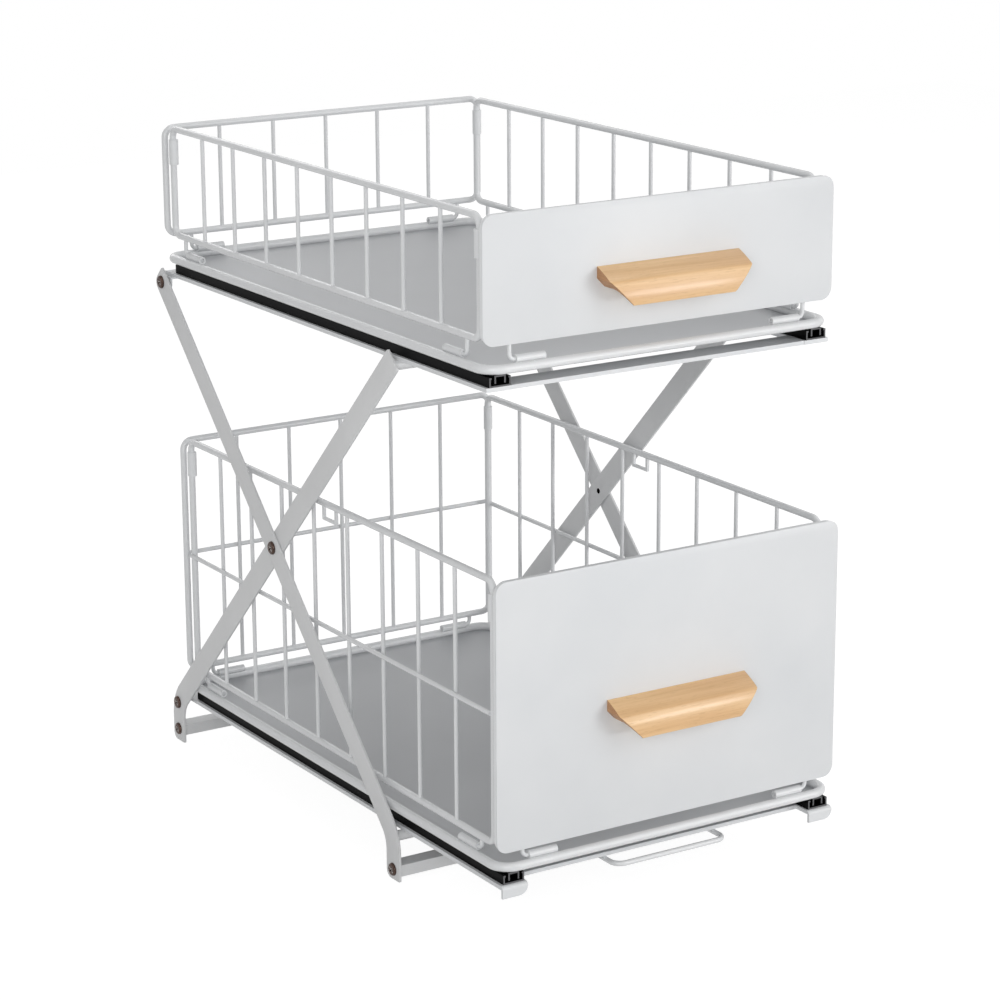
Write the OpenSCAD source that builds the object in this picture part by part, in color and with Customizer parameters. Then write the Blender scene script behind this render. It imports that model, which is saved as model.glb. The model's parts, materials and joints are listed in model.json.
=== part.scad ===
// Two-tier pull-out cabinet basket on a folding X-leg stand.
// X runs along the front panels, Y from front to back, Z up.
// The origin is at the bottom centre of the whole object.

/* [Baskets] */
// Width of the front panels
basket_w = 300; // [260:1:340]
// Height of the upper front panel
upper_panel_h = 91.5; // [70:0.5:130]
// Height of the lower front panel
lower_panel_h = 201.5; // [150:0.5:206]
// Wire diameter of the panel outlines
post_d = 5.2; // [4.8:0.1:6]
// Wire diameter of the upright bars and the panel feet
bar_d = 3.2; // [2.4:0.1:3.6]
// Wire diameter of the mid wires in the lower panels
mid_wire_d = 3.6; // [2.8:0.1:4.2]
// Height of the mid wires over the middle of the lower panels
mid_wire_rise = 1.2; // [-12:0.1:12]
// Number of upright bars in a side panel
side_bars = 8; // [6:1:11]
// Number of upright bars in a front or back panel
back_bars = 5; // [4:1:8]
// Bend radius of the panel outlines at their corners
panel_corner_r = 8; // [6:0.5:12]
// Thickness of the front panel sheets
panel_sheet_t = 1; // [0.8:0.1:2]
// Corner radius of the front panel sheets
sheet_corner_r = 9; // [6:0.5:14]
// Distance of a side panel's posts from the front and back panels
side_panel_gap = 8.1; // [8.1:0.1:14]
// How far the side panels are set back from the middle of their tray
side_panel_shift = 2.4; // [0:0.1:2.4]
// Outside diameter of the sleeves on the side panels' posts
sleeve_d = 7.4; // [7:0.1:8]
// Length of the sleeves
sleeve_l = 20; // [12:1:30]
// Width of the ring tab under the top wire of the lower side panels
ring_w = 21; // [14:0.5:30]
// Height of the ring tab
ring_h = 13; // [9:0.5:20]

/* [Panel feet and hinge tubes] */
// Height of the upper panels' lowest wire over the hinge axis
upper_lift = 13.9; // [11:0.1:18]
// Height of the lower panels' lowest wire over the hinge axis
lower_lift = 8.9; // [8:0.1:14]
// Distance from a panel's post to its foot
foot_inset = 21; // [17:1:30]
// Distance of a side panel's wire feet from the panel's ends
side_foot_inset = 17.5; // [17:0.5:30]
// Bend radius of a foot
foot_bend_r = 4; // [3:0.5:5]
// Outside diameter of a hinge tube
tube_d = 6; // [5.6:0.1:7]
// Length of a hinge tube
tube_l = 24; // [16:1:32]
// Radial running clearance of the pins and hinge wires
pin_clearance = 0.08; // [0.02:0.01:0.1]

/* [Trays] */
// Length of the tray rim between its wire centres
rim_l = 490; // [450:1:530]
// Wire diameter of the tray rim
rim_d = 7; // [6:0.1:8]
// Bend radius of the rim's corners
rim_corner_r = 14; // [12:1:20]
// Thickness of the tray sheet
tray_sheet_t = 1; // [0.6:0.1:1.6]

/* [Drawer slides] */
// Width of a slide
slide_w = 17.5; // [16.5:0.5:20]
// Height of a slide
slide_h = 8.4; // [8:0.1:10]
// Distance from the rim's rear wire to the slides' rear end
slide_rear_gap = 10.5; // [4:0.5:40]
// Thickness of the slides' sheet steel
slide_t = 1.2; // [1:0.1:1.3]
// Diameter of a ball
ball_d = 2.4; // [2.2:0.1:2.6]
// Number of balls in a row
ball_count = 6; // [4:1:10]
// How far a drawer pulls out
drawer_travel = 300; // [220:1:320]

/* [Rail frames] */
// Height of the lower rails' underside over the floor
rail_height = 38.3; // [34:0.1:46]
// Height from the lower rails to the upper rails
level_gap = 360.6; // [356:0.1:400]
// How far the lower frame stands forward of the upper frame
stagger = 15; // [4:1:26]
// Width of a rail
rail_w = 21.5; // [20.5:0.5:23]
// Thickness of a rail
rail_t = 3; // [2:0.1:4]
// Drop of the front tab under each lower rail
tab_drop = 6.3; // [4:0.1:10]
// Radius of the tab's rounded corner
tab_corner_r = 7; // [2:0.5:9]
// Depth of the front cross bars
front_bar_w = 21; // [15:1:24]
// Setback of the lower front cross bar
front_bar_setback = 12.5; // [6:0.5:16]
// Wire diameter of the pull loop
loop_d = 4; // [3:0.1:5]
// Width of the pull loop between its wire centres
loop_w = 98; // [70:1:120]
// Reach of the pull loop in front of the cross bar
loop_reach = 15; // [12:1:22]
// Bend radius of the pull loop
loop_bend_r = 8; // [5:0.5:10]

/* [Legs] */
// Width of a leg strip
leg_w = 19; // [17:0.5:22]
// Thickness of a leg strip
leg_t = 2; // [1.5:0.1:3]
// Horizontal reach from the rear pivots to the front rods
leg_reach = 362; // [352:1:372]
// Inner bend radius where a leg turns down into its foot
leg_bend_r = 22; // [12:0.5:26]
// Length of a leg past its end pivot
leg_overshoot = 8; // [7:0.5:12]
// Radius of the rounded rear corner at the top of the outer legs
leg_round_r = 7; // [2:0.5:7]
// Radius of the rounded rear corner at the bottom of the feet
foot_round_r = 6; // [2:0.5:8]
// Diameter of the cross rods
rod_d = 8; // [6.6:0.1:8.4]
// Depth of a foot bar
foot_bar_w = 14; // [11:0.5:16]
// Height of a foot bar
foot_bar_h = 9; // [8:0.5:11]
// Shank diameter of the pivot screws
pivot_d = 4.6; // [4:0.1:5]
// Head diameter of the pivot screws
pivot_head_d = 10.5; // [9:0.1:12]
// Head diameter of the foot screws
foot_head_d = 10; // [7:0.1:10.5]
// Height of the screw heads
head_h = 1.8; // [1.2:0.1:2.4]

/* [Handles] */
// Length of a handle along the panel
handle_l = 122; // [105:1:150]
// Reach of a handle in front of the panel
handle_reach = 21; // [19:0.5:25]
// Height of a handle's root on the panel
handle_root_h = 15; // [14:0.5:17]
// Drop from the root's top edge to the lip
handle_drop = 26.5; // [24:0.5:29]
// Height of the square shoulders above the slanted cuts
handle_shoulder = 8.5; // [6:0.5:10]
// Length taken off each end by the slanted cut
handle_end_cut = 17.5; // [12:0.5:22]
// How far a handle sits to the right of its panel's middle
handle_shift = 4.5; // [-8:0.5:8]
// Distance between the handle screws
handle_screw_pitch = 64; // [48:1:80]
// Height of the upper handle's top edge over its panel's middle
upper_handle_rise = 1.1; // [-8:0.1:8]
// Height of the lower handle's top edge over its panel's middle
lower_handle_rise = -1.5; // [-8:0.1:8]

/* [Hidden] */
$fn = 48;

// Colours
white_coat = [0.87, 0.88, 0.89];
leg_coat = [0.78, 0.79, 0.79];
sheet_grey = [0.66, 0.67, 0.68];
slide_black = [0.09, 0.09, 0.1];
zinc = [0.7, 0.7, 0.72];
beech = [0.88, 0.72, 0.52];
bronze = [0.27, 0.2, 0.17];

// Wires, tubes and panels; y is measured from the rim's front wire
post_r = post_d / 2;
bar_r = bar_d / 2;
rim_r = rim_d / 2;
tube_r = tube_d / 2;
weld_sink = 0.15;
post_x = basket_w / 2 - post_r;
rim_x = basket_w / 2 - rim_r;
hinge_x = basket_w / 2 - 7;
hinge_inset = rim_x - hinge_x;
hinge_rise = sqrt(pow(rim_r + tube_r - weld_sink, 2) - pow(hinge_inset, 2));
wire_bore_r = bar_r + pin_clearance;
tube_gap = 0.6;
pin_short = 2;
sheet_inset = sqrt(pow(rim_r, 2) - pow(rim_r - tray_sheet_t, 2));
upper_loop_h = upper_panel_h - post_d;
lower_loop_h = lower_panel_h - post_d;
mid_wire_out = bar_r + mid_wire_d / 2 - 0.3;
front_plane = hinge_inset;
back_plane = rim_l - hinge_inset;
side_panel_l = back_plane - front_plane - 2 * side_panel_gap;
side_middle = rim_l / 2 + side_panel_shift;
face_y = front_plane - post_r - panel_sheet_t;
sleeve_drop = 1;
sleeve_wall = 0.3;
sleeve_offset = sleeve_d / 2 - post_r - sleeve_wall;
ring_wire = 2.2;

// Heights
lower_z = rail_height + rail_t;
upper_z = lower_z + level_gap;
rim_rise = slide_h + rim_r;
hinge_up = rim_rise + hinge_rise;

// Legs: two pairs of equal strips that cross at their middle
side_gap = 0.3;
rod_gap = 0.3;
head_gap = 0.1;
pivot_r = pivot_d / 2;
pivot_bore_r = pivot_r + pin_clearance;
rear_bar_t = 1.5;
ear_t = 1.5;
ear_r = 8;
ear_x = basket_w / 2 + 0.6;
inner_leg_x = ear_x + side_gap;
outer_leg_x = inner_leg_x + leg_t + side_gap;
pivot_drop = rod_gap + rod_d / 2;
low_pivot_z = rail_height - pivot_drop;
high_pivot_z = low_pivot_z + level_gap;
mid_pivot_z = low_pivot_z + level_gap / 2;
leg_angle = atan2(level_gap, leg_reach);
leg_span = norm([leg_reach, level_gap]);
leg_corner_r = 1.5;
foot_turn = 90 - leg_angle;
bend_mid_r = leg_bend_r + leg_w / 2;
bend_tangent = bend_mid_r * tan(foot_turn / 2);
front_foot_z = 3.5;
rear_foot_z = 6;
foot_bar_t = 1.5;
foot_screw_r = 1.9;
rear_inset = 4;
leg_end = (leg_overshoot - leg_round_r) * cos(leg_angle)
    + (leg_w / 2 - leg_round_r) * sin(leg_angle) + leg_round_r;

// Depth, centred on the whole object
front_reach = stagger - face_y + handle_reach;
rear_reach = rim_l + max(leg_end - rear_inset, leg_w / 2 - rear_inset, rim_r);
upper_y = (front_reach - rear_reach) / 2;
lower_y = upper_y - stagger;
pivot_y = upper_y + rim_l - rear_inset;
front_rod_y = pivot_y - leg_reach;
mid_pivot_y = pivot_y - leg_reach / 2;

// Rails and slides
slide_x = basket_w / 2 - 5 - slide_w / 2;
rail_x = basket_w / 2 - 2.5 - rail_w / 2;
slide_start = -0.5;
slide_l = rim_l - slide_rear_gap - slide_start;
rail_end = pivot_y + ear_r;
tab_t = rail_t - 1;
loop_tail = 10;

// Slide section, measured from the middle of the slide
race_x = slide_w / 2 - slide_t;
ball_play = 0.3;
member_half = race_x - ball_d - 2 * ball_play;
channel_h = slide_h - slide_t - 0.2;
race_lip = 0.7;
ball_row_x = (race_x + member_half) / 2;
ball_z = (slide_t + channel_h) / 2 + 0.2;
cage_t = 0.6;
cage_l = slide_l - drawer_travel - 8;
cage_start = slide_start + drawer_travel / 2 + 4;
ball_pitch = (cage_l - 12) / (ball_count - 1);
ball_bite = 0.05;

// Handles
handle_screw_r = 1.95;
handle_screw_bite = 7;
handle_head_r = 4;
handle_head_t = post_r - bar_r - 0.1;
handle_screw_drop = handle_root_h * 0.63;

function bezier(a, b, c, d, t) =
    pow(1 - t, 3) * a + 3 * t * pow(1 - t, 2) * b + 3 * t * t * (1 - t) * c + pow(t, 3) * d;

// ---------- shared shapes ----------

module x_cylinder(r, x0, x1, y, z)
    translate([x0, y, z]) rotate([0, 90, 0]) cylinder(r = r, h = x1 - x0);

module y_cylinder(r, y0, y1, x, z)
    translate([x, y0, z]) rotate([-90, 0, 0]) cylinder(r = r, h = y1 - y0);

module yz_plate(x, t)
    translate([x, 0, 0]) rotate([90, 0, 90]) linear_extrude(t) children();

module rounded_rect(w, h, r) {
    square([w - 2 * r, h], center = true);
    square([w, h - 2 * r], center = true);
    for (sx = [-1, 1], sy = [-1, 1])
        translate([sx * (w / 2 - r), sy * (h / 2 - r)]) circle(r);
}

// A closed wire loop in the XY plane, sized between wire centres
module wire_loop(w, h, corner, wire_r) {
    for (s = [-1, 1]) {
        translate([s * w / 2, corner - h / 2, 0]) rotate([-90, 0, 0])
            cylinder(r = wire_r, h = h - 2 * corner);
        translate([corner - w / 2, s * h / 2, 0]) rotate([0, 90, 0])
            cylinder(r = wire_r, h = w - 2 * corner);
    }
    for (q = [0:3])
        translate([(q == 0 || q == 3 ? 1 : -1) * (w / 2 - corner),
                   (q < 2 ? 1 : -1) * (h / 2 - corner), 0])
            rotate([0, 0, q * 90]) rotate_extrude(angle = 90)
                translate([corner, 0]) circle(wire_r);
}

// One wire foot: down from the panel, then bent into its hinge tube
module wire_foot(l, lift, inset) {
    u = inset - l / 2;
    translate([u, foot_bend_r, 0]) rotate([-90, 0, 0])
        cylinder(r = bar_r, h = lift - foot_bend_r);
    translate([u + foot_bend_r, foot_bend_r, 0]) rotate([0, 0, 180])
        rotate_extrude(angle = 90) translate([foot_bend_r, 0]) circle(bar_r);
    translate([u + foot_bend_r, 0, 0]) rotate([0, 90, 0])
        cylinder(r = bar_r, h = tube_gap + tube_l - pin_short);
}

// A wire panel over its hinge axis: x along the panel, y up, z outwards
module wire_panel(l, h, lift, bars, inset = foot_inset) {
    translate([0, lift + h / 2, 0]) wire_loop(l, h, panel_corner_r, post_r);
    for (i = [1:bars])
        translate([l * (i / (bars + 1) - 0.5), lift, 0]) rotate([-90, 0, 0])
            cylinder(r = bar_r, h = h);
    wire_foot(l, lift, inset);
    mirror([1, 0, 0]) wire_foot(l, lift, inset);
}

module mid_wire(l, h, lift)
    translate([-l / 2, lift + h / 2 + mid_wire_rise, mid_wire_out]) rotate([0, 90, 0])
        cylinder(r = mid_wire_d / 2, h = l);

// The two hinge tubes for a panel of length l
module tube_pair(l, r, inset = foot_inset) {
    u = inset - l / 2 + foot_bend_r + tube_gap;
    for (m = [0, 1]) mirror([m, 0, 0])
        translate([u, 0, 0]) rotate([0, 90, 0]) cylinder(r = r, h = tube_l);
}

// A screw along X whose head bears on the plane x; the shank points inwards
module side_screw(x, y, z, shank_r, shank_l, head_r) {
    x_cylinder(shank_r, x - shank_l, x, y, z);
    translate([x, y, z]) rotate([0, 90, 0]) rotate_extrude()
        polygon([[0, 0], [head_r, 0], [head_r, head_h * 0.45],
                 [head_r * 0.62, head_h], [0, head_h]]);
}

module both_sides() {
    children();
    mirror([1, 0, 0]) children();
}

// ---------- rail frames ----------

// A flat bar with a rounded front edge
module lower_rail(x) {
    front = lower_y - rim_r;
    translate([x - rail_w / 2, front + rail_t, rail_height])
        cube([rail_w, rail_end - front - rail_t, rail_t]);
    intersection() {
        x_cylinder(rail_t, x - rail_w / 2, x + rail_w / 2, front + rail_t, rail_height);
        translate([x - rail_w / 2, front, rail_height]) cube([rail_w, rail_t, rail_t]);
    }
}

// A plate welded under a lower rail's front edge, with one corner rounded
module front_tab(x) {
    r = tab_corner_r;
    turn = 90 + asin(min(0, tab_drop / r - 1));
    corner = [for (i = [0:8]) [rail_w - r + r * sin(turn * i / 8),
                               r - tab_drop - r * cos(turn * i / 8)]];
    translate([x - rail_w / 2, lower_y - rim_r + tab_t, rail_height]) rotate([90, 0, 0])
        linear_extrude(tab_t)
            polygon(concat([[0, 0], [0, -tab_drop]], corner, r < tab_drop ? [[rail_w, 0]] : []));
}

module upper_rail(x)
    translate([x - rail_w / 2, upper_y + slide_start, rail_height + level_gap])
        cube([rail_w, rail_end - upper_y - slide_start, rail_t]);

module front_bar(y, z)
    translate([rail_w / 2 - rail_x, y, z])
        cube([2 * rail_x - rail_w, front_bar_w, rail_t]);

// A flat bar under the rails with an ear turned down at each end
module rear_bar(z) {
    difference() {
        union() {
            translate([-ear_x, pivot_y - ear_r, z - rear_bar_t])
                cube([2 * ear_x, 2 * ear_r, rear_bar_t]);
            both_sides() yz_plate(ear_x - ear_t, ear_t)
                translate([pivot_y, z - pivot_drop]) {
                    translate([-ear_r, 0]) square([2 * ear_r, pivot_drop]);
                    intersection() {
                        circle(ear_r);
                        translate([-ear_r, -ear_r]) square([2 * ear_r, ear_r]);
                    }
                }
        }
        both_sides() x_cylinder(pivot_r, ear_x - 6, ear_x + 1, pivot_y, z - pivot_drop);
    }
}

module lower_left_rail() color(white_coat) lower_rail(-rail_x);
module lower_right_rail() color(white_coat) lower_rail(rail_x);
module lower_front_tabs() color(white_coat) {
    front_tab(-rail_x);
    front_tab(rail_x);
}
module lower_front_bar() color(white_coat) front_bar(lower_y + front_bar_setback, rail_height);
module lower_rear_bar() color(white_coat) rear_bar(rail_height);
module upper_left_rail() color(white_coat) upper_rail(-rail_x);
module upper_right_rail() color(white_coat) upper_rail(rail_x);
module upper_front_bar() color(white_coat) front_bar(upper_y, rail_height + level_gap);
module upper_rear_bar() color(white_coat) rear_bar(rail_height + level_gap);

module pull_loop() color(white_coat) {
    z = rail_height - loop_d / 2;
    front = lower_y + front_bar_setback - loop_reach;
    x_cylinder(loop_d / 2, loop_bend_r - loop_w / 2, loop_w / 2 - loop_bend_r, front, z);
    both_sides() {
        y_cylinder(loop_d / 2, front + loop_bend_r, front + loop_reach + loop_tail, loop_w / 2, z);
        translate([loop_w / 2 - loop_bend_r, front + loop_bend_r, z]) rotate([0, 0, -90])
            rotate_extrude(angle = 90) translate([loop_bend_r, 0]) circle(loop_d / 2);
    }
}

// ---------- drawer slides ----------

// The fixed channel of a slide, extruded along Y
module channel(x, y, z) color(slide_black)
    translate([x, y + slide_start + slide_l, z]) rotate([90, 0, 0]) linear_extrude(slide_l) {
        translate([-slide_w / 2, 0]) square([slide_w, slide_t]);
        for (m = [0, 1]) mirror([m, 0]) {
            translate([race_x, 0]) square([slide_t, channel_h]);
            translate([race_x - race_lip, channel_h - slide_t]) square([race_lip + slide_t, slide_t]);
        }
    }

module lower_left_channel() channel(-slide_x, lower_y, lower_z);
module lower_right_channel() channel(slide_x, lower_y, lower_z);
module upper_left_channel() channel(-slide_x, upper_y, upper_z);
module upper_right_channel() channel(slide_x, upper_y, upper_z);

// The sliding members under a tray
module slide_members(y, z) color(slide_black)
    for (s = [-1, 1])
        translate([s * slide_x, y + slide_start + slide_l, z]) rotate([90, 0, 0])
            linear_extrude(slide_l) {
                translate([-member_half, slide_h - slide_t]) square([2 * member_half, slide_t]);
                for (m = [0, 1]) mirror([m, 0])
                    translate([member_half - slide_t, 2.6]) square([slide_t, slide_h - 2.6]);
            }

module lower_slide_members() slide_members(lower_y, lower_z);
module upper_slide_members() slide_members(upper_y, upper_z);

module ball_cages(y, z) color(zinc)
    for (s = [-1, 1]) difference() {
        translate([s * slide_x, y + cage_start + cage_l, z]) rotate([90, 0, 0])
            linear_extrude(cage_l) {
                translate([-ball_row_x, slide_t + 0.3]) square([2 * ball_row_x, cage_t]);
                for (m = [0, 1]) mirror([m, 0])
                    translate([ball_row_x - cage_t / 2, slide_t + 0.3])
                        square([cage_t, channel_h - slide_t - 0.3]);
            }
        for (i = [0:ball_count - 1])
            x_cylinder(ball_d / 2 - ball_bite, s * slide_x - slide_w / 2, s * slide_x + slide_w / 2,
                       y + cage_start + 6 + i * ball_pitch, z + ball_z);
    }

module balls(y, z) color(zinc)
    for (s = [-1, 1], m = [-1, 1], i = [0:ball_count - 1])
        translate([s * slide_x + m * ball_row_x, y + cage_start + 6 + i * ball_pitch, z + ball_z])
            sphere(r = ball_d / 2);

module lower_ball_cages() ball_cages(lower_y, lower_z);
module lower_balls() balls(lower_y, lower_z);
module upper_ball_cages() ball_cages(upper_y, upper_z);
module upper_balls() balls(upper_y, upper_z);

// ---------- legs ----------

// Points of an arc, from angle a0 to a1
function arc(centre, r, a0, a1, steps) = [for (i = [0:steps])
    let (a = a0 + (a1 - a0) * i / steps) centre + r * [cos(a), sin(a)]];

// A leg in its own plane: foot pivot at the origin, strip rising towards -x.
// The outer side is the upper side of the strip and the +x side of the foot.
module leg_outline(foot_out, foot_in, end_out, end_in) {
    along = [-cos(leg_angle), sin(leg_angle)];
    across = [sin(leg_angle), cos(leg_angle)];
    bend = [-bend_mid_r, -bend_tangent];
    tip = (leg_span + leg_overshoot) * along;
    half = leg_w / 2;
    polygon(concat(
        arc([half - foot_out, foot_out - low_pivot_z], foot_out, -90, 0, 5),
        arc(bend, bend_mid_r + half, 0, foot_turn, 12),
        arc(tip + (half - end_out) * across - end_out * along, end_out,
            foot_turn, foot_turn + 90, 5),
        arc(tip - (half - end_in) * across - end_in * along, end_in,
            foot_turn + 90, foot_turn + 180, 5),
        arc(bend, leg_bend_r, foot_turn, 0, 10),
        arc([foot_in - half, foot_in - low_pivot_z], foot_in, 180, 270, 5)));
}

module leg_plate(x, y, foot_bore, mid_bore, foot_z)
    color(leg_coat) yz_plate(x, leg_t) translate([y, low_pivot_z]) difference() {
        children();
        if (foot_bore > 0) circle(foot_bore);
        translate([mid_pivot_y - y, mid_pivot_z - low_pivot_z]) circle(mid_bore);
        translate([0, foot_z + foot_bar_h / 2 - low_pivot_z]) circle(foot_screw_r);
    }

module inner_right_leg()
    leg_plate(inner_leg_x, pivot_y, pivot_bore_r, pivot_r, rear_foot_z)
        leg_outline(foot_round_r, leg_corner_r, leg_corner_r, leg_corner_r);
module inner_left_leg() mirror([1, 0, 0]) inner_right_leg();
module outer_right_leg()
    leg_plate(outer_leg_x, front_rod_y, 0, pivot_bore_r, front_foot_z)
        difference() {
            mirror([1, 0]) leg_outline(leg_corner_r, foot_round_r, leg_corner_r, leg_round_r);
            translate([leg_reach, level_gap]) circle(pivot_bore_r);
        }
module outer_left_leg() mirror([1, 0, 0]) outer_right_leg();

// A rod welded between the inner faces of two legs
module cross_rod(x, y, z) color(leg_coat)
    x_cylinder(rod_d / 2, -x, x, y, z);

module inner_cross_rod() cross_rod(inner_leg_x, front_rod_y, high_pivot_z);
module outer_cross_rod() cross_rod(outer_leg_x, front_rod_y, low_pivot_z);

module crossing_screws() color(bronze)
    both_sides() side_screw(outer_leg_x + leg_t + head_gap, mid_pivot_y, mid_pivot_z,
                            pivot_r, 2 * leg_t + side_gap + head_gap, pivot_head_d / 2);

module lower_pivot_screws() color(bronze)
    both_sides() side_screw(inner_leg_x + leg_t + head_gap, pivot_y, low_pivot_z, pivot_r,
                            leg_t + side_gap + ear_t + head_gap, pivot_head_d / 2);

module upper_pivot_screws() color(bronze)
    both_sides() side_screw(outer_leg_x + leg_t + head_gap, pivot_y, high_pivot_z, pivot_r,
                            outer_leg_x + leg_t + head_gap - ear_x + ear_t, pivot_head_d / 2);

module spacer_washers() color(zinc)
    both_sides() difference() {
        x_cylinder(ear_r - 2, ear_x, outer_leg_x - head_gap, pivot_y, high_pivot_z);
        x_cylinder(pivot_r, ear_x - 1, outer_leg_x + 1, pivot_y, high_pivot_z);
    }

// An angle bar with closed ends between the feet of one leg pair
module foot_bar(x, y, z) color(leg_coat)
    difference() {
        union() {
            translate([-x, y - foot_bar_w / 2, z]) cube([2 * x, foot_bar_t, foot_bar_h]);
            translate([-x, y - foot_bar_w / 2, z + foot_bar_h - foot_bar_t])
                cube([2 * x, foot_bar_w, foot_bar_t]);
            both_sides() translate([x - foot_bar_t, y - foot_bar_w / 2, z])
                cube([foot_bar_t, foot_bar_w, foot_bar_h]);
        }
        both_sides() x_cylinder(foot_screw_r, x - 4, x + 1, y, z + foot_bar_h / 2);
    }

module front_foot_bar() foot_bar(outer_leg_x, front_rod_y, front_foot_z);
module rear_foot_bar() foot_bar(inner_leg_x, pivot_y, rear_foot_z);

module front_foot_screws() color(bronze)
    both_sides() side_screw(outer_leg_x + leg_t, front_rod_y, front_foot_z + foot_bar_h / 2,
                            foot_screw_r, leg_t + foot_bar_t, foot_head_d / 2);

module rear_foot_screws() color(bronze)
    both_sides() side_screw(inner_leg_x + leg_t, pivot_y, rear_foot_z + foot_bar_h / 2,
                            foot_screw_r, leg_t + foot_bar_t, foot_head_d / 2);

// ---------- trays ----------

module tray_rim(y, z) color(white_coat)
    difference() {
        union() {
            translate([0, y + rim_l / 2, z + rim_rise])
                wire_loop(2 * rim_x, rim_l, rim_corner_r, rim_r);
            tray_tubes(y, z, tube_r);
        }
        tray_tubes(y, z, wire_bore_r);
    }

module tray_tubes(y, z, r) {
    both_sides() translate([hinge_x, y + side_middle, z + hinge_up]) rotate([0, 0, 90])
        tube_pair(side_panel_l, r, side_foot_inset);
    for (plane = [front_plane, back_plane])
        translate([0, y + plane, z + hinge_up]) tube_pair(2 * post_x, r);
}

module tray_sheet(y, z) color(sheet_grey)
    translate([0, y + rim_l / 2, z + slide_h]) linear_extrude(tray_sheet_t)
        rounded_rect(2 * (rim_x - sheet_inset), rim_l - 2 * sheet_inset,
                     rim_corner_r - sheet_inset);

module lower_tray_rim() tray_rim(lower_y, lower_z);
module upper_tray_rim() tray_rim(upper_y, upper_z);
module lower_tray_sheet() tray_sheet(lower_y, lower_z);
module upper_tray_sheet() tray_sheet(upper_y, upper_z);

// ---------- front and back panels ----------

module lower_back_panel() color(white_coat)
    translate([0, lower_y + back_plane, lower_z + hinge_up]) rotate([0, 0, 180])
        rotate([90, 0, 0]) {
            wire_panel(2 * post_x, lower_loop_h, lower_lift, back_bars);
            mid_wire(2 * post_x, lower_loop_h, lower_lift);
        }

module upper_back_panel() color(white_coat)
    translate([0, upper_y + back_plane, upper_z + hinge_up]) rotate([0, 0, 180])
        rotate([90, 0, 0]) wire_panel(2 * post_x, upper_loop_h, upper_lift, back_bars);

module lower_front_frame() color(white_coat)
    translate([0, lower_y + front_plane, lower_z + hinge_up]) rotate([90, 0, 0])
        wire_panel(2 * post_x, lower_loop_h, lower_lift, back_bars);

module upper_front_frame() color(white_coat)
    translate([0, upper_y + front_plane, upper_z + hinge_up]) rotate([90, 0, 0])
        wire_panel(2 * post_x, upper_loop_h, upper_lift, back_bars);

module front_sheet(y, z, h, handle_top) color(white_coat)
    translate([0, y + front_plane - post_r, z]) rotate([90, 0, 0])
        linear_extrude(panel_sheet_t) difference() {
            translate([0, h / 2]) rounded_rect(basket_w, h, sheet_corner_r);
            for (s = [-1, 1])
                translate([handle_shift + s * handle_screw_pitch / 2,
                           handle_top - handle_screw_drop])
                    circle(handle_screw_r);
        }

// Heights of the sheets' lower edges and of the handles' top edges over them
lower_sheet_z = lower_z + hinge_up + lower_lift - post_r;
upper_sheet_z = upper_z + hinge_up + upper_lift - post_r;
lower_handle_top = lower_panel_h / 2 + lower_handle_rise;
upper_handle_top = upper_panel_h / 2 + upper_handle_rise;

module lower_front_sheet() front_sheet(lower_y, lower_sheet_z, lower_panel_h, lower_handle_top);
module upper_front_sheet() front_sheet(upper_y, upper_sheet_z, upper_panel_h, upper_handle_top);

// ---------- handles ----------

// Section of a handle: x forwards is negative, the root's top edge at the origin
module handle_section() {
    top = [for (t = [0:0.2:1]) bezier([0, 0], [-0.27, -0.095], [-0.55, -0.2], [-0.8, -0.335], t)];
    nose = [for (t = [0.125:0.125:1])
        bezier([-0.8, -0.335], [-0.94, -0.4], [-0.955, -0.62], [-1, -0.95], t)];
    lip = [[-1, -0.97], [-0.985, -0.99], [-0.965, -1], [-0.94, -0.99]];
    under = [for (t = [0:0.1:1])
        bezier([-0.93, -0.975], [-0.87, -0.8], [-0.82, -0.58], [-0.55, -0.567], t)];
    scaled = [for (p = concat(top, nose, lip, under))
        [p[0] * handle_reach, p[1] * handle_drop]];
    polygon(concat(scaled, [[0, -handle_root_h]]));
}

// Front view of a handle: square shoulders, then slanted down to the lip
module handle_front() {
    half = handle_l / 2;
    slant = handle_end_cut / (handle_drop - handle_shoulder);
    side = [[half + 1, 1], [half + 1, 1 / slant - handle_shoulder],
            [half - handle_end_cut - slant, -handle_drop - 1]];
    for (m = [0, 1]) mirror([m, 0]) polygon(concat([[0, 1]], side, [[0, -handle_drop - 1]]));
}

module handle(y, z) color(beech)
    translate([handle_shift, y + face_y, z]) difference() {
        intersection() {
            yz_plate(-handle_l / 2, handle_l) handle_section();
            translate([0, 1, 0]) rotate([90, 0, 0])
                linear_extrude(handle_reach + 2) handle_front();
        }
        for (s = [-1, 1])
            y_cylinder(handle_screw_r, -handle_screw_bite, 1, s * handle_screw_pitch / 2,
                       -handle_screw_drop);
    }

module handle_screws(y, z) color(bronze)
    for (s = [-1, 1]) {
        back = y + face_y + panel_sheet_t;
        x = handle_shift + s * handle_screw_pitch / 2;
        y_cylinder(handle_screw_r, y + face_y - handle_screw_bite, back, x,
                   z - handle_screw_drop);
        y_cylinder(handle_head_r, back, back + handle_head_t, x, z - handle_screw_drop);
    }

module lower_handle() handle(lower_y, lower_sheet_z + lower_handle_top);
module upper_handle() handle(upper_y, upper_sheet_z + upper_handle_top);
module lower_handle_screws() handle_screws(lower_y, lower_sheet_z + lower_handle_top);
module upper_handle_screws() handle_screws(upper_y, upper_sheet_z + upper_handle_top);

// ---------- side panels ----------

// The small ring under the top wire of a lower side panel
module ring_tab(top) {
    w = ring_wire;
    translate([0, top - ring_h, -w / 2]) {
        for (s = [-1, 1]) translate([s * (ring_w - w) / 2 - w / 2, 0, 0]) cube([w, ring_h, w]);
        translate([-ring_w / 2, 0, 0]) cube([ring_w, w, w]);
    }
}

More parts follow.
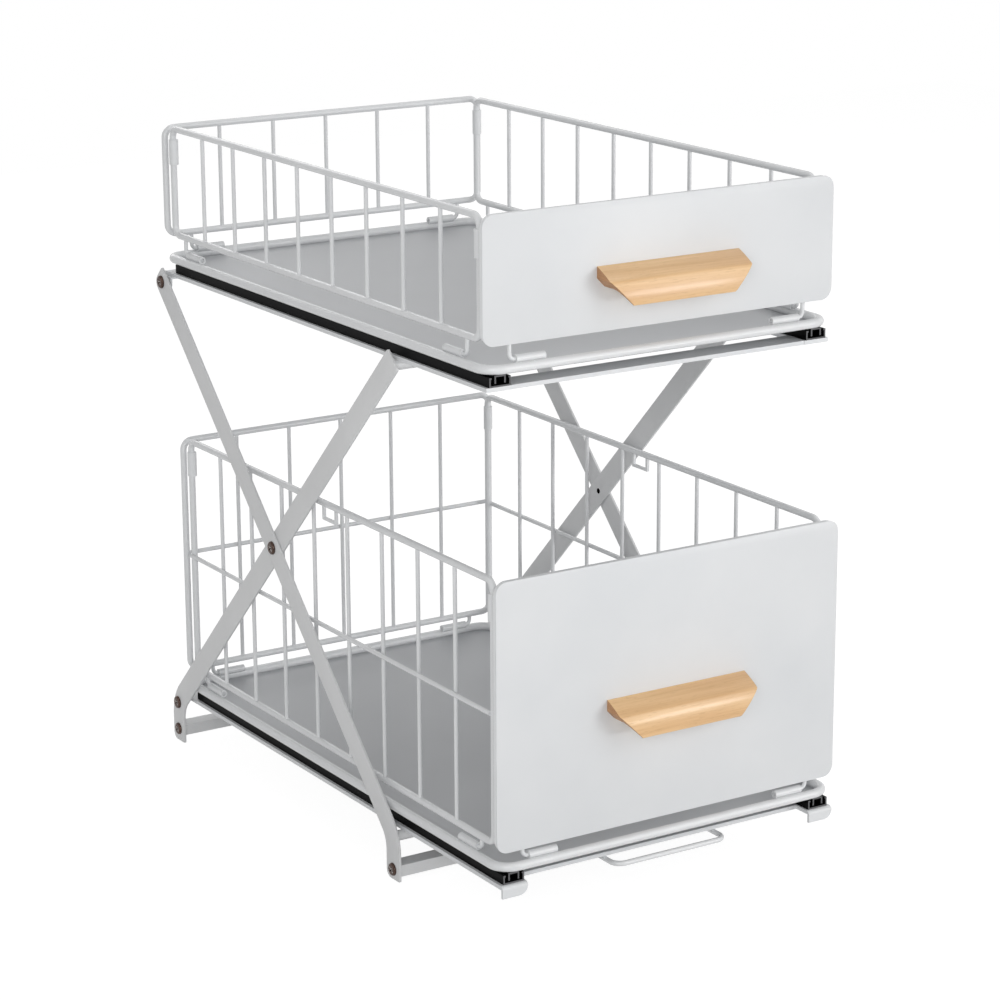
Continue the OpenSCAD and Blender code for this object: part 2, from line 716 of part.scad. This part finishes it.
module right_panel(y, z, h, lift, is_lower) color(white_coat)
    translate([hinge_x, y + side_middle, z + hinge_up]) rotate([90, 0, 90]) {
        wire_panel(side_panel_l, h, lift, side_bars, side_foot_inset);
        if (is_lower) {
            mid_wire(side_panel_l, h, lift);
            ring_tab(lift + h);
        }
    }

// Each sleeve's wall is thin on the side of the front or back panel
module right_sleeves(y, z, h, lift) color(white_coat)
    translate([hinge_x, y + side_middle, z + hinge_up]) {
        top = lift + h - panel_corner_r - sleeve_drop;
        for (s = [-1, 1]) translate([0, s * side_panel_l / 2, top - sleeve_l]) difference() {
            translate([0, -s * sleeve_offset, 0]) cylinder(r = sleeve_d / 2, h = sleeve_l);
            translate([0, 0, -1]) cylinder(r = post_r, h = sleeve_l + 2);
        }
    }

module lower_right_panel() right_panel(lower_y, lower_z, lower_loop_h, lower_lift, true);
module lower_left_panel() mirror([1, 0, 0]) lower_right_panel();
module upper_right_panel() right_panel(upper_y, upper_z, upper_loop_h, upper_lift, false);
module upper_left_panel() mirror([1, 0, 0]) upper_right_panel();
module lower_right_sleeves() right_sleeves(lower_y, lower_z, lower_loop_h, lower_lift);
module lower_left_sleeves() mirror([1, 0, 0]) lower_right_sleeves();
module upper_right_sleeves() right_sleeves(upper_y, upper_z, upper_loop_h, upper_lift);
module upper_left_sleeves() mirror([1, 0, 0]) upper_right_sleeves();

lower_left_rail();
lower_right_rail();
lower_front_tabs();
lower_front_bar();
lower_rear_bar();
pull_loop();
lower_left_channel();
lower_right_channel();
lower_pivot_screws();
inner_left_leg();
inner_right_leg();
inner_cross_rod();
crossing_screws();
rear_foot_bar();
rear_foot_screws();
outer_left_leg();
outer_right_leg();
outer_cross_rod();
front_foot_bar();
front_foot_screws();
upper_left_rail();
upper_right_rail();
upper_front_bar();
upper_rear_bar();
upper_left_channel();
upper_right_channel();
upper_pivot_screws();
spacer_washers();
lower_ball_cages();
lower_balls();
upper_ball_cages();
upper_balls();
lower_slide_members();
lower_tray_rim();
lower_tray_sheet();
lower_back_panel();
lower_front_frame();
lower_front_sheet();
lower_handle();
lower_handle_screws();
lower_left_panel();
lower_right_panel();
lower_left_sleeves();
lower_right_sleeves();
upper_slide_members();
upper_tray_rim();
upper_tray_sheet();
upper_back_panel();
upper_front_frame();
upper_front_sheet();
upper_handle();
upper_handle_screws();
upper_left_panel();
upper_right_panel();
upper_left_sleeves();
upper_right_sleeves();
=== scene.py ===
import json
import math

import bmesh
import bpy
from mathutils import Matrix, Vector


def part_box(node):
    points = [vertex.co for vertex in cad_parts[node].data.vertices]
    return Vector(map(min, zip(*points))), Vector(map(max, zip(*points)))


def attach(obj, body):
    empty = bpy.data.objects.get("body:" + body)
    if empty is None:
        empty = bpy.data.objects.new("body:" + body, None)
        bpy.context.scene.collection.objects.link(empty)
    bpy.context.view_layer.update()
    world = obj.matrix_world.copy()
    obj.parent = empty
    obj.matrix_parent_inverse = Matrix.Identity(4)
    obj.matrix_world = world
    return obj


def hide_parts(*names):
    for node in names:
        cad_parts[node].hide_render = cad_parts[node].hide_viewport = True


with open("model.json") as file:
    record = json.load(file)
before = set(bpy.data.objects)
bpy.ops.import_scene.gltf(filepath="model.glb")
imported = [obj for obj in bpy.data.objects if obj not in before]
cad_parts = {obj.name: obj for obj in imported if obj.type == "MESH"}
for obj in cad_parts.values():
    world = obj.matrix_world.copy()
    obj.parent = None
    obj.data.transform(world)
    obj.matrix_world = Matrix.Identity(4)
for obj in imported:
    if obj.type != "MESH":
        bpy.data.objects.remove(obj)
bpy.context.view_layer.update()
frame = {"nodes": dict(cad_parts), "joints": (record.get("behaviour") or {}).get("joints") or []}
nodes = frame["nodes"]
MM = 0.001
TOUCH = 0.1 * MM


# Rails and cross bars: steel sheet and flat bar, welded into two frames and powder coated with
# a satin film that has a faint orange-peel skin. Every finish here is written with the class
# below: it wraps a shader socket, and sums, differences and products add their Math nodes.
class Shade:
    def __init__(self, tree, socket):
        self.tree = tree
        self.socket = socket

    def node(self, kind, settings, inputs, output=0):
        made = self.tree.nodes.new(kind)
        for name, value in settings.items():
            setattr(made, name, value)
        for key, value in inputs.items():
            if isinstance(value, Shade):
                self.tree.links.new(value.socket, made.inputs[key])
            else:
                made.inputs[key].default_value = value
        return Shade(self.tree, made.outputs[output])

    def math(self, operation, first, second):
        return self.node("ShaderNodeMath", {"operation": operation}, {0: first, 1: second})

    def __add__(self, other):
        return self.math("ADD", self, other)

    def __sub__(self, other):
        return self.math("SUBTRACT", self, other)

    def __mul__(self, other):
        return self.math("MULTIPLY", self, other)

    __radd__ = __add__
    __rmul__ = __mul__

    def greater(self, other):
        return self.math("MAXIMUM", self, other)

    def stretched(self, x, y, z):
        return self.node("ShaderNodeMapping", {}, {"Vector": self, "Scale": (x, y, z)})

    def noise(self, scale, detail=2.0, roughness=0.5):
        return self.node("ShaderNodeTexNoise", {},
                         {"Vector": self, "Scale": scale, "Detail": detail,
                          "Roughness": roughness})

    def between(self, low, high):
        return self.node("ShaderNodeMapRange", {"clamp": True},
                         {"Value": self, "From Min": low, "From Max": high})

    def mix(self, blend, share, first, second):
        return self.node("ShaderNodeMix", {"data_type": "RGBA", "blend_type": blend},
                         {0: share, 6: first, 7: second}, output=2)

    def tint(self, at_zero, at_one):
        return self.mix("MIX", self, at_zero, at_one)

    def shaded_by(self, tone):
        return self.mix("MULTIPLY", 1.0, self, tone)

    def bump(self, strength, depth):
        return self.node("ShaderNodeBump", {},
                         {"Strength": strength, "Distance": depth, "Height": self})


def new_finish(name):
    finish = bpy.data.materials.new(name)
    finish.use_nodes = True
    place = finish.node_tree.nodes.new("ShaderNodeTexCoord").outputs["Object"]
    return finish, Shade(finish.node_tree, place)


def set_surface(finish, **sockets):
    shader = finish.node_tree.nodes["Principled BSDF"]
    for name, value in sockets.items():
        socket = shader.inputs[name.replace("_", " ")]
        if isinstance(value, Shade):
            finish.node_tree.links.new(value.socket, socket)
        else:
            socket.default_value = value


def powder_coat(name, thin, thick, roughness, clouds=(9.0, 4.0), peel_scale=900.0, peel_rise=0.10):
    finish, place = new_finish(name)
    cloud = place.noise(*clouds).between(0.3, 0.7)
    peel = place.noise(peel_scale)
    set_surface(finish, Base_Color=cloud.tint(thin, thick),
                Roughness=roughness + 0.08 * (peel - 0.5),
                Normal=peel.bump(peel_rise, 0.2 * MM))
    return finish


def dress(finish, *names):
    for name in names:
        for slot in nodes[name].material_slots:
            slot.material = finish


LEVELS = ("lower", "upper")
white_coat = powder_coat("white_powder_coat", (0.70, 0.715, 0.73, 1), (0.76, 0.77, 0.78, 1), 0.42)
# The wires take the same white coat, painted a little lighter than on the plates and rails as
# painted light so they read brighter, and made glossier.
wire_coat_painted_light = powder_coat("wire_powder_coat_painted_light", (0.73, 0.74, 0.75, 1), (0.79, 0.80, 0.81, 1), 0.26)
for level in LEVELS:
    dress(white_coat, level + "_left_rail", level + "_right_rail",
          level + "_front_bar", level + "_rear_bar")
dress(white_coat, "lower_front_tabs")
dress(wire_coat_painted_light, "pull_loop")

# Drawer slides: folded steel with a thin black coat, and a painted highlight of light grey on
# the cut front ends. A fixed channel lies on each rail and a sliding member under the tray,
# with zinc-plated ball retainers and steel balls between.
END_HIGHLIGHT_FULL = 0.1 * MM
END_HIGHLIGHT_START = 0.3 * MM


def slide_coat(level):
    finish, place = new_finish(level + "_slide_black")
    rubbed = place.stretched(60.0, 4.0, 60.0).noise(1.0, 5.0).between(0.35, 0.75)
    coated = rubbed.tint((0.0015, 0.0015, 0.0018, 1), (0.004, 0.004, 0.0045, 1))
    front_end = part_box(level + "_slide_members")[0].y
    along = place.node("ShaderNodeSeparateXYZ", {}, {0: place}, output=1)
    # Painted highlight: faces at the front end of the slides turn light grey instead of black.
    painted_end_highlight = along.between(front_end + END_HIGHLIGHT_START, front_end + END_HIGHLIGHT_FULL)
    set_surface(finish, Base_Color=painted_end_highlight.tint(coated, (0.13, 0.13, 0.135, 1)),
                Roughness=0.38 + 0.15 * rubbed, Specular_IOR_Level=0.04,
                Normal=place.noise(700.0).bump(0.08, 0.2 * MM))
    return finish


zinc_plate, place = new_finish("zinc_plate")
brushing = place.stretched(900.0, 25.0, 900.0).noise(1.0, 3.0)
set_surface(zinc_plate, Base_Color=brushing.tint((0.52, 0.52, 0.50, 1), (0.68, 0.68, 0.67, 1)),
            Metallic=1.0, Roughness=0.28 + 0.15 * brushing)
ball_steel, place = new_finish("ball_steel")
polish = place.noise(400.0)
set_surface(ball_steel, Base_Color=polish.tint((0.62, 0.62, 0.63, 1), (0.72, 0.72, 0.73, 1)),
            Metallic=1.0, Roughness=0.12)
for level in LEVELS:
    dress(slide_coat(level), level + "_left_channel", level + "_right_channel",
          level + "_slide_members")
    dress(zinc_plate, level + "_ball_cages")
    dress(ball_steel, level + "_balls")
dress(zinc_plate, "spacer_washers")

# Legs: flat steel strips, 19 mm wide and 2 mm thick, powder coated, with softened edges. Each
# rises slantwise from a foot bent on edge, crosses its partner and ends past its upper pivot.
# The stand's coat is the same white powder coat painted a little darker: painted shade for the
# legs, rods and foot bars, whose faces the lamps reach less.
stand_coat_painted_shade = powder_coat("stand_powder_coat_painted_shade", (0.68, 0.685, 0.69, 1), (0.745, 0.75, 0.755, 1),
                         0.42)
LEG_WIDTH = 19 * MM
LEG_BEND = 22 * MM
LEG_TIP = 8 * MM
SHARP_CORNER = 1.5 * MM
FOOT_ROUND = 6 * MM
TIP_ROUND = 7 * MM
LEG_EDGE = 0.35 * MM
joints = {joint["name"]: joint for joint in frame["joints"]}
low_pivot = Vector(joints["fold"]["pos_m"])
high_pivot = Vector(joints["top_pivot"]["pos_m"])
crossing = Vector(joints["leg_crossing"]["pos_m"])
front_y = 2 * crossing.y - low_pivot.y
leg_length = math.hypot(low_pivot.y - front_y, high_pivot.z - low_pivot.z)
leg_slope = math.atan2(high_pivot.z - low_pivot.z, low_pivot.y - front_y)
foot_turn = math.pi / 2 - leg_slope
bend_middle = LEG_BEND + LEG_WIDTH / 2
bend_start = bend_middle * math.tan(foot_turn / 2)
foot_top = low_pivot.z - bend_start


def pick(piece, test):
    shape = bmesh.from_edit_mesh(piece.data)
    for face in shape.faces:
        face.select = False
    for edge in shape.edges:
        edge.select = False
    for vert in shape.verts:
        vert.select = test(vert.co)
    shape.select_flush_mode()
    shape.select_flush(True)
    bmesh.update_edit_mesh(piece.data)


def near(point):
    return lambda spot: (spot - point).length < TOUCH


def finish_piece(piece, finish, body, replaced=(), smooth=40):
    bpy.ops.object.select_all(action="DESELECT")
    piece.select_set(True)
    bpy.context.view_layer.objects.active = piece
    for modifier in list(piece.modifiers):
        bpy.ops.object.modifier_apply(modifier=modifier.name)
    bpy.ops.object.transform_apply(location=True, rotation=True, scale=True)
    bpy.ops.object.shade_smooth_by_angle(angle=math.radians(smooth))
    piece.data.materials.clear()
    piece.data.materials.append(finish)
    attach(piece, body)
    if replaced:
        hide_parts(*replaced)


def soften(piece, width, segments=2, angle=50):
    bevel = piece.modifiers.new("softened edges", "BEVEL")
    bevel.width = width
    bevel.segments = segments
    bevel.limit_method = "ANGLE"
    bevel.angle_limit = math.radians(angle)


def strip_leg(node, body, foot_y, rises, foot_rounds, tip_rounds):
    low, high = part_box(node)
    x = (low[0] + high[0]) / 2
    bpy.ops.object.select_all(action="DESELECT")
    bpy.ops.mesh.primitive_plane_add(size=1, location=(x, foot_y, foot_top / 2),
                                     rotation=(0, math.pi / 2, 0))
    strip = bpy.context.object
    strip.name = node + "_strip"
    strip.scale = (foot_top, LEG_WIDTH, 1)
    bpy.ops.object.transform_apply(location=True, rotation=True, scale=True)
    bpy.ops.object.mode_set(mode="EDIT")
    pick(strip, lambda spot: spot.z > foot_top - TOUCH)
    bpy.ops.mesh.spin(steps=12, angle=rises * foot_turn, axis=(1, 0, 0),
                      center=(x, foot_y + rises * bend_middle, foot_top))
    along = Vector((0, rises * math.cos(leg_slope), math.sin(leg_slope)))
    across = Vector((0, -rises * math.sin(leg_slope), math.cos(leg_slope)))
    pivot = Vector((x, foot_y, low_pivot.z))
    bend_end = pivot + along * bend_start
    pick(strip, lambda spot: abs((spot - bend_end).dot(along)) < TOUCH)
    tip = pivot + along * (leg_length + LEG_TIP)
    bpy.ops.mesh.extrude_region_move(TRANSFORM_OT_translate={"value": tip - bend_end})
    half = LEG_WIDTH / 2
    corners = ((tip + across * half, tip_rounds[0]), (tip - across * half, tip_rounds[1]),
               (Vector((x, foot_y - rises * half, 0)), foot_rounds[0]),
               (Vector((x, foot_y + rises * half, 0)), foot_rounds[1]))
    for corner, radius in corners:
        pick(strip, near(corner))
        bpy.ops.mesh.bevel(offset=radius, segments=7, affect="VERTICES")
    bpy.ops.object.mode_set(mode="OBJECT")
    wall = strip.modifiers.new("strip thickness", "SOLIDIFY")
    wall.thickness = high[0] - low[0]
    wall.offset = 0
    soften(strip, LEG_EDGE)
    finish_piece(strip, stand_coat_painted_shade, body, [node])


for side in ("left", "right"):
    strip_leg("inner_" + side + "_leg", "legs_inner", low_pivot.y, -1,
              (FOOT_ROUND, SHARP_CORNER), (SHARP_CORNER, SHARP_CORNER))
    strip_leg("outer_" + side + "_leg", "legs_outer", front_y, 1,
              (SHARP_CORNER, FOOT_ROUND), (SHARP_CORNER, TIP_ROUND))
dress(stand_coat_painted_shade, "inner_cross_rod", "outer_cross_rod", "front_foot_bar", "rear_foot_bar")

# Screws: shouldered pivot screws and foot screws of browned steel, with low domed heads, each
# with a driver slot crossed by a shorter one; the longer slot's faces are coloured bright steel
# as a painted highlight. The right screw of a pair is turned and mirrored to the left.
browned_steel, place = new_finish("browned_steel")
patina = place.noise(350.0, 4.0).between(0.3, 0.7)
set_surface(browned_steel,
            Base_Color=patina.tint((0.035, 0.022, 0.018, 1), (0.10, 0.066, 0.055, 1)),
            Metallic=1.0, Roughness=0.16 + 0.2 * patina, Normal=patina.bump(0.1, 0.1 * MM))
# Painted highlight: a bright, streaky steel colour for the faces of the longer slot, standing in
# for the glint on the heads.
slot_painted_highlight, place = new_finish("slot_painted_highlight_steel")
highlight_streaks = place.stretched(300.0, 2500.0, 300.0).noise(1.0, 3.0)
set_surface(slot_painted_highlight, Base_Color=highlight_streaks.tint((0.62, 0.60, 0.58, 1), (0.85, 0.84, 0.83, 1)),
            Metallic=0.6, Roughness=0.3 + 0.2 * highlight_streaks)
HEAD_HEIGHT = 1.8 * MM
DOME_SHARE = 0.8
RIVET_END = 1.5 * MM
SLOT_LENGTH = 6.2 * MM
CROSS_LENGTH = 4.0 * MM
RECESS_WIDTH = 1.1 * MM
RECESS_DEPTH = 1.0 * MM
SLOT_TURN = math.radians(35)


def screw_pair(node, body, head_radius, shank_radius, inner_end):
    low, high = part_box(node)
    y, z = (low[1] + high[1]) / 2, (low[2] + high[2]) / 2
    under_head = high[0] - HEAD_HEIGHT
    bpy.ops.object.select_all(action="DESELECT")
    bpy.ops.mesh.primitive_cylinder_add(vertices=40, radius=head_radius, depth=HEAD_HEIGHT,
                                        location=(under_head + HEAD_HEIGHT / 2, y, z),
                                        rotation=(0, math.pi / 2, 0))
    screw = bpy.context.object
    screw.name = node + "_turned"
    bpy.ops.object.transform_apply(location=True, rotation=True, scale=True)
    bpy.ops.object.mode_set(mode="EDIT")
    pick(screw, lambda spot: spot.x > high[0] - TOUCH)
    bpy.ops.mesh.bevel(offset=HEAD_HEIGHT * DOME_SHARE, segments=6, profile=0.55,
                       affect="EDGES")
    pick(screw, lambda spot: spot.x < under_head + TOUCH)
    bpy.ops.mesh.inset(thickness=head_radius - shank_radius)
    bpy.ops.mesh.extrude_region_move(
        TRANSFORM_OT_translate={"value": (inner_end - under_head, 0, 0)})
    bpy.ops.object.mode_set(mode="OBJECT")
    for turn, length in ((SLOT_TURN, SLOT_LENGTH), (SLOT_TURN + math.pi / 2, CROSS_LENGTH)):
        bpy.ops.mesh.primitive_cube_add(size=1, location=(high[0], y, z), rotation=(turn, 0, 0))
        cutter = bpy.context.object
        cutter.scale = (2 * RECESS_DEPTH, length, RECESS_WIDTH)
        slot = screw.modifiers.new("recess", "BOOLEAN")
        slot.object = cutter
        bpy.context.view_layer.objects.active = screw
        bpy.ops.object.modifier_apply(modifier=slot.name)
        bpy.data.objects.remove(cutter)
    screw.modifiers.new("other side", "MIRROR")
    finish_piece(screw, browned_steel, body, [node], smooth=30)
    screw.data.materials.append(slot_painted_highlight)
    # Faces inside the longer slot take the painted highlight colour.
    for face in screw.data.polygons:
        spot = face.center - Vector((0, y, z))
        off_slot = abs(spot.z * math.cos(SLOT_TURN) - spot.y * math.sin(SLOT_TURN))
        below_dome = high[0] - abs(spot.x)
        in_recess = 0.2 * RECESS_DEPTH < below_dome < 1.1 * RECESS_DEPTH
        if in_recess and off_slot < 0.6 * RECESS_WIDTH and spot.yz.length < SLOT_LENGTH / 2:
            face.material_index = 1


PIVOT_SIZES = (5.25 * MM, 2.3 * MM)
FOOT_SIZES = (5.0 * MM, 1.9 * MM)
inner_leg_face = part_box("inner_right_leg")[0].x
outer_leg_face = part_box("outer_right_leg")[0].x
pivot_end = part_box("lower_rear_bar")[1].x - RIVET_END
screw_pair("crossing_screws", "legs_inner", *PIVOT_SIZES, inner_leg_face)
screw_pair("lower_pivot_screws", "base_frame", *PIVOT_SIZES, pivot_end)
screw_pair("upper_pivot_screws", "top_frame", *PIVOT_SIZES, pivot_end)
screw_pair("rear_foot_screws", "legs_inner", *FOOT_SIZES, inner_leg_face - RIVET_END)
screw_pair("front_foot_screws", "legs_outer", *FOOT_SIZES, outer_leg_face - RIVET_END)

# Trays: a bent rim wire with hinge tubes welded on it, and a flat sheet in a grey satin coat
# that lies on the sliding members inside the rim.
sheet_grey = powder_coat("grey_sheet_coat", (0.43, 0.44, 0.455, 1), (0.47, 0.48, 0.495, 1), 0.40,
                         clouds=(5.0, 3.0), peel_scale=800.0, peel_rise=0.08)
for level in LEVELS:
    dress(wire_coat_painted_light, level + "_tray_rim")
    dress(sheet_grey, level + "_tray_sheet")

# Wire panels: bent outline wires with welded upright bars and wire feet, powder coated white
# like the rims, and short sleeves of white plastic on the side panels' posts.
sleeve_white = powder_coat("sleeve_plastic", (0.74, 0.75, 0.76, 1), (0.79, 0.80, 0.81, 1), 0.5)
for level in LEVELS:
    dress(wire_coat_painted_light, level + "_back_panel", level + "_front_frame",
          level + "_left_panel", level + "_right_panel")
    dress(sleeve_white, level + "_left_sleeves", level + "_right_sleeves")

# Front sheets: 1 mm steel with rounded corners and softened edges, spot welded to the front
# wire frames and powder coated in the same white.
SHEET_CORNER = 9 * MM
SHEET_EDGE = 0.3 * MM


def front_sheet(node, body):
    low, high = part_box(node)
    middle = [(a + b) / 2 for a, b in zip(low, high)]
    width, height = high[0] - low[0], high[2] - low[2]
    bpy.ops.object.select_all(action="DESELECT")
    bpy.ops.mesh.primitive_plane_add(size=1, location=middle, rotation=(math.pi / 2, 0, 0))
    sheet = bpy.context.object
    sheet.name = node + "_plate"
    sheet.scale = (width, height, 1)
    bpy.ops.object.transform_apply(location=True, rotation=True, scale=True)
    bpy.ops.object.mode_set(mode="EDIT")
    bpy.ops.mesh.select_all(action="SELECT")
    bpy.ops.mesh.bevel(offset=SHEET_CORNER, segments=10, affect="VERTICES")
    bpy.ops.object.mode_set(mode="OBJECT")
    wall = sheet.modifiers.new("sheet thickness", "SOLIDIFY")
    wall.thickness = high[1] - low[1]
    wall.offset = 0
    soften(sheet, SHEET_EDGE)
    finish_piece(sheet, white_coat, body, [node])


front_sheet("lower_front_sheet", "lower_drawer")
front_sheet("upper_front_sheet", "upper_drawer")

# Handles: solid beech, planed to a hooked section with a sloping top, a tall rounded nose and a
# hollow for the fingers behind it. The ends are slanted and show darker end grain, the edges
# are eased, and the whole has a clear satin lacquer. The section is in shares of its box.
beech, place = new_finish("lacquered_beech")
grain = place.stretched(5.0, 95.0, 95.0).noise(1.0, 4.0, 0.55)
streak = place.stretched(22.0, 900.0, 900.0).noise(1.0, 3.0)
fleck = place.stretched(130.0, 1500.0, 1500.0).noise(1.0, 1.0).between(0.62, 0.70)
heartwood = grain.between(0.35, 0.65).tint((0.73, 0.44, 0.20, 1), (0.87, 0.585, 0.30, 1))
lines = streak.between(0.3, 0.7).tint((0.93, 0.90, 0.86, 1), (1.0, 1.0, 1.0, 1))
flecked = (0.3 * fleck).tint(heartwood.shaded_by(lines), (0.50, 0.26, 0.10, 1))
set_surface(beech, Base_Color=flecked, Roughness=0.31 + 0.12 * streak,
            Normal=(streak - 0.6 * fleck).bump(0.12, 0.15 * MM), Coat_Weight=0.6,
            Coat_Roughness=0.2)
end_grain, place = new_finish("beech_end_grain")
pores = place.stretched(900.0, 1600.0, 1600.0).noise(1.0, 3.0)
rings = place.stretched(60.0, 60.0, 420.0).noise(1.0, 2.0)
cut_fibres = (0.6 * pores + 0.4 * rings).between(0.35, 0.65)
set_surface(end_grain, Base_Color=cut_fibres.tint((0.36, 0.17, 0.075, 1), (0.56, 0.31, 0.15, 1)),
            Roughness=0.45 + 0.15 * pores, Normal=pores.bump(0.15, 0.15 * MM))


def bezier(a, b, c, d, t):
    s = 1 - t
    return [s ** 3 * p + 3 * t * s * s * q + 3 * t * t * s * r + t ** 3 * w
            for p, q, r, w in zip(a, b, c, d)]


HANDLE_TOP = ((0, 0), (-0.27, -0.095), (-0.55, -0.2), (-0.8, -0.335))
HANDLE_NOSE = ((-0.8, -0.335), (-0.9, -0.42), (-0.99, -0.66), (-1, -0.93))
HANDLE_LIP = ((-1, -0.93), (-1, -0.99), (-0.96, -1.03), (-0.93, -0.975))
HANDLE_UNDER = ((-0.93, -0.975), (-0.87, -0.8), (-0.82, -0.58), (-0.55, -0.567))
HANDLE_ROOT = 15 * MM
HANDLE_SHOULDER = 8.5 * MM
HANDLE_END_CUT = 17.5 * MM
HANDLE_EDGE = 0.6 * MM
END_FACING = 0.45


def wing_section(reach, drop):
    runs = ((HANDLE_TOP, 10), (HANDLE_NOSE, 14), (HANDLE_LIP, 6), (HANDLE_UNDER, 12))
    points = []
    for run, steps in runs:
        points += [bezier(*run, step / steps) for step in range(steps)]
    points = [(y * reach, z * drop) for y, z in points + [HANDLE_UNDER[-1]]]
    return points + [(0, -HANDLE_ROOT)]


def wing_handle(node, body):
    low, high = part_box(node)
    reach, drop = high[1] - low[1], high[2] - low[2]
    section = wing_section(reach, drop)
    bpy.ops.object.select_all(action="DESELECT")
    bpy.ops.mesh.primitive_circle_add(vertices=len(section), radius=reach, fill_type="NGON")
    handle = bpy.context.object
    handle.name = node + "_planed"
    bpy.ops.object.mode_set(mode="EDIT")
    shape = bmesh.from_edit_mesh(handle.data)
    for vert, (y, z) in zip(shape.verts, section):
        vert.co = (low[0], high[1] + y, high[2] + z)
    bmesh.update_edit_mesh(handle.data)
    bpy.ops.mesh.select_all(action="SELECT")
    bpy.ops.mesh.extrude_region_move(
        TRANSFORM_OT_translate={"value": (high[0] - low[0], 0, 0)})
    shoulder = high[2] - HANDLE_SHOULDER
    for end, side in ((high[0], 1), (low[0], -1)):
        bpy.ops.mesh.select_all(action="SELECT")
        outwards = Vector((side * (drop - HANDLE_SHOULDER), 0, -HANDLE_END_CUT)).normalized()
        bpy.ops.mesh.bisect(plane_co=(end, low[1], shoulder), plane_no=outwards,
                            use_fill=True, clear_outer=True)
    bpy.ops.mesh.select_all(action="SELECT")
    bpy.ops.mesh.normals_make_consistent(inside=False)
    bpy.ops.object.mode_set(mode="OBJECT")
    soften(handle, HANDLE_EDGE, segments=3, angle=35)
    finish_piece(handle, beech, body, [node], smooth=28)
    handle.data.materials.append(end_grain)
    for face in handle.data.polygons:
        if abs(face.normal.x) > END_FACING:
            face.material_index = 1


wing_handle("lower_handle", "lower_drawer")
wing_handle("upper_handle", "upper_drawer")
dress(browned_steel, "lower_handle_screws", "upper_handle_screws")

# Studio: a pale floor, white surroundings and soft lamps: three in front, weaker ones above, at
# the sides and behind. Rays that come from the camera, also by way of a reflection, see the
# white; the rest meet a matt floor and a faint fill, so that the lamps shape the object.
FLOOR_SIZE = 6
FLOOR_DROP = 0.5 * MM
GLOW_SHARE = 0.78
GLOW = 1.2
FILL = 0.3
WHITE = (1, 1, 1, 1)
LAMP_AIM = Vector((0, -0.05, 0.25))


def seen_rays(tree):
    path = tree.nodes.new("ShaderNodeLightPath")
    camera, glossy, clear = (Shade(tree, path.outputs["Is " + kind + " Ray"])
                             for kind in ("Camera", "Glossy", "Transmission"))
    return camera.greater(glossy.greater(clear))


floor_white = bpy.data.materials.new("studio_floor")
floor_white.use_nodes = True
floor_tree = floor_white.node_tree
floor_tree.nodes.clear()
seen = seen_rays(floor_tree)
matt = seen.node("ShaderNodeBsdfDiffuse", {}, {"Color": (0.82, 0.82, 0.82, 1)})
glow = seen.node("ShaderNodeEmission", {}, {"Color": WHITE, "Strength": GLOW})
lit = seen.node("ShaderNodeMixShader", {}, {0: GLOW_SHARE * seen, 1: matt, 2: glow})
floor_out = floor_tree.nodes.new("ShaderNodeOutputMaterial")
floor_tree.links.new(lit.socket, floor_out.inputs["Surface"])
bpy.ops.mesh.primitive_plane_add(size=FLOOR_SIZE, location=(0, 0, -FLOOR_DROP))
floor = bpy.context.object
floor.name = "studio_floor"
floor.data.materials.append(floor_white)

world = bpy.data.worlds.new("studio")
bpy.context.scene.world = world
world.use_nodes = True
world_tree = world.node_tree
seen = seen_rays(world_tree)
soft_fill = seen.node("ShaderNodeBackground", {}, {"Color": WHITE, "Strength": FILL})
white_wall = seen.node("ShaderNodeBackground", {}, {"Color": WHITE, "Strength": 1.0})
sky = seen.node("ShaderNodeMixShader", {}, {0: seen, 1: soft_fill, 2: white_wall})
world_tree.links.new(sky.socket, world_tree.nodes["World Output"].inputs["Surface"])


def soft_lamp(name, place, width, height, power):
    bpy.ops.object.light_add(type="AREA", location=place)
    lamp = bpy.context.object
    lamp.name = name
    lamp.data.shape = "RECTANGLE"
    lamp.data.size = width
    lamp.data.size_y = height
    lamp.data.energy = power
    lamp.rotation_euler = (LAMP_AIM - Vector(place)).to_track_quat("-Z", "Y").to_euler()


soft_lamp("front_right_lamp", (1.5, -2.4, 1.4), 1.5, 1.5, 15)
soft_lamp("low_right_lamp", (1.58, -2.7, 0.3), 1.25, 0.4, 16)
soft_lamp("front_left_lamp", (-1.7, -2.3, 1.0), 1.4, 1.2, 26)
soft_lamp("top_lamp", (0.2, 0.3, 2.6), 1.6, 1.6, 10)
soft_lamp("left_lamp", (-2.4, 0.2, 1.2), 1.4, 1.4, 3)
soft_lamp("right_lamp", (2.4, 0.3, 1.2), 1.4, 1.4, 5)
soft_lamp("back_lamp", (0.3, 2.6, 1.6), 1.4, 1.4, 10)

# The camera's place, aim and tilt were found by matching the panels' corners in the photograph.
CAMERA_PLACE = (-1242.9 * MM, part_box("upper_front_sheet")[0][1] - 1764.9 * MM, 900.5 * MM)
AZIMUTH = math.radians(32.08)
DOWNWARD = math.radians(15.54)
TILT = math.radians(-0.29)
FOCAL_MM = 112.27
SENSOR_MM = 36
ahead = Vector((math.sin(AZIMUTH) * math.cos(DOWNWARD), math.cos(AZIMUTH) * math.cos(DOWNWARD),
                -math.sin(DOWNWARD)))
right = Vector((math.cos(AZIMUTH), -math.sin(AZIMUTH), 0))
above = right.cross(ahead)
view_right = right * math.cos(TILT) + above * math.sin(TILT)
view_above = above * math.cos(TILT) - right * math.sin(TILT)
camera_data = bpy.data.cameras.new("photo_camera")
camera_data.lens = FOCAL_MM
camera_data.sensor_width = SENSOR_MM
camera = bpy.data.objects.new("photo_camera", camera_data)
bpy.context.scene.collection.objects.link(camera)
camera.matrix_world = Matrix.Translation(CAMERA_PLACE) @ Matrix(
    (view_right, view_above, -ahead)).transposed().to_4x4()
bpy.context.scene.camera = camera
bpy.context.scene.view_settings.view_transform = "Standard"
